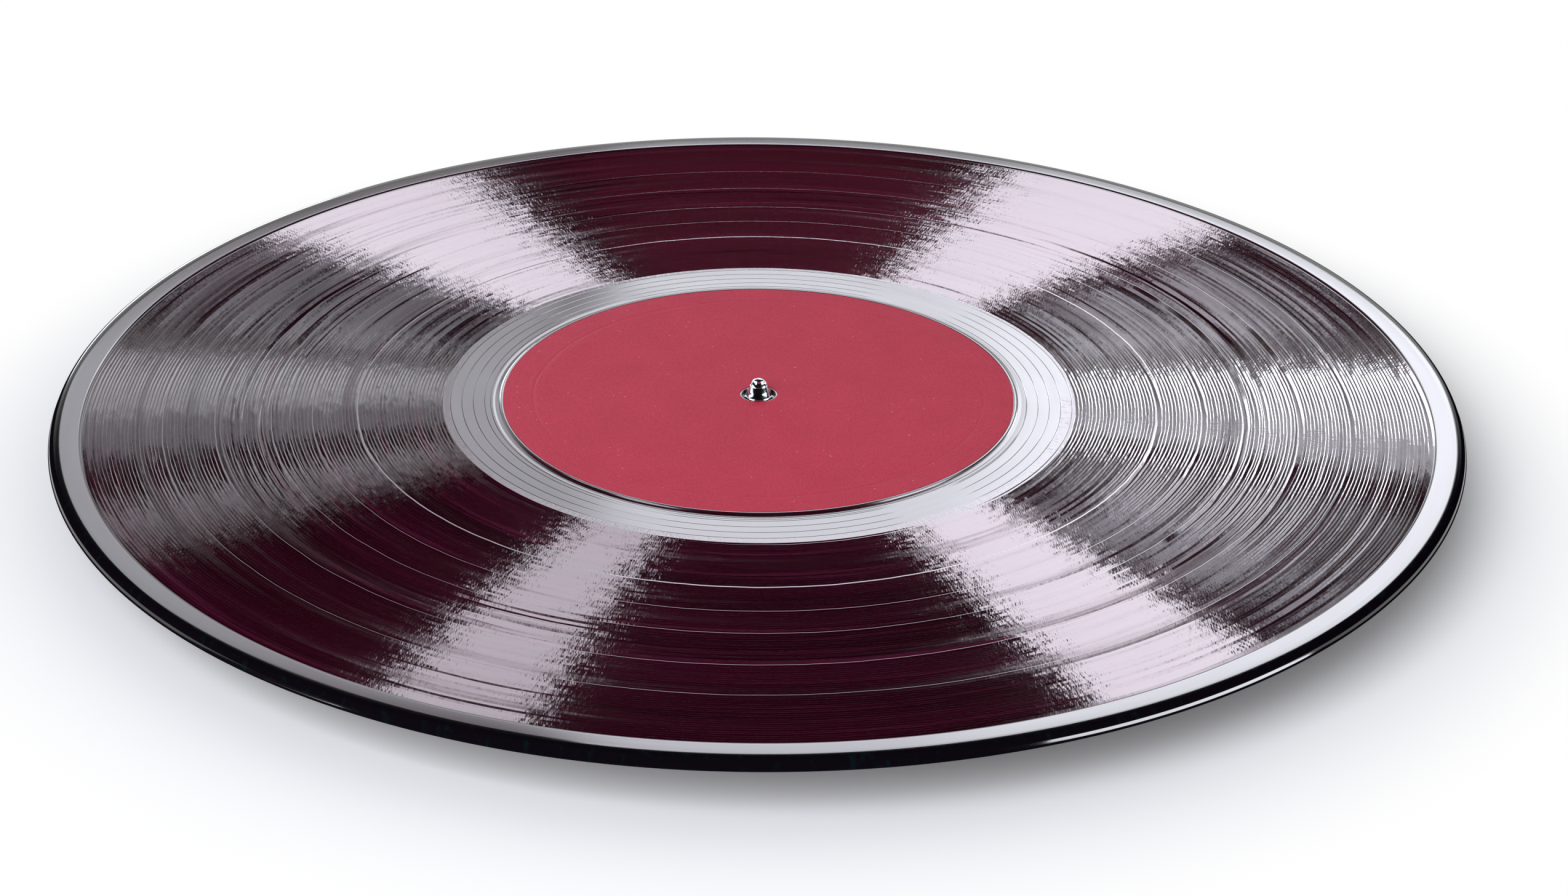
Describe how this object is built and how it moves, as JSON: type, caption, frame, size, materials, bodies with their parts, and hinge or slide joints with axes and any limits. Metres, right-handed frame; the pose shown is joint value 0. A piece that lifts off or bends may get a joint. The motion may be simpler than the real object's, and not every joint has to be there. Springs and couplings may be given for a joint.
{
  "type": "vinyl record",
  "caption": "Long playing record: pressed vinyl disc with a raised rim and grooves on both sides, a paper label on each side, and a short metal centre spindle that it spins on.",
  "frame": {"origin": "centre of the record's underside, on the spin axis", "axes": "+Z along the spin axis, out of side A"},
  "size_m": [0.3016, 0.3016, 0.0059],
  "materials": {
    "vinyl": "glossy dark wine red pressed vinyl",
    "label_paper": "plain uncoated crimson paper",
    "chrome": "polished"
  },
  "bodies": {
    "spindle": {"spindle": "chrome"},
    "record": {"vinyl_disc": "vinyl", "label_side_a": "label_paper", "label_side_b": "label_paper"}
  },
  "joints": [
    {"name": "record_spin", "type": "hinge", "parent": "spindle", "child": "record", "pos_m": [0, 0, 0.0008], "axis": [0, 0, 1], "continuous": true}
  ]
}
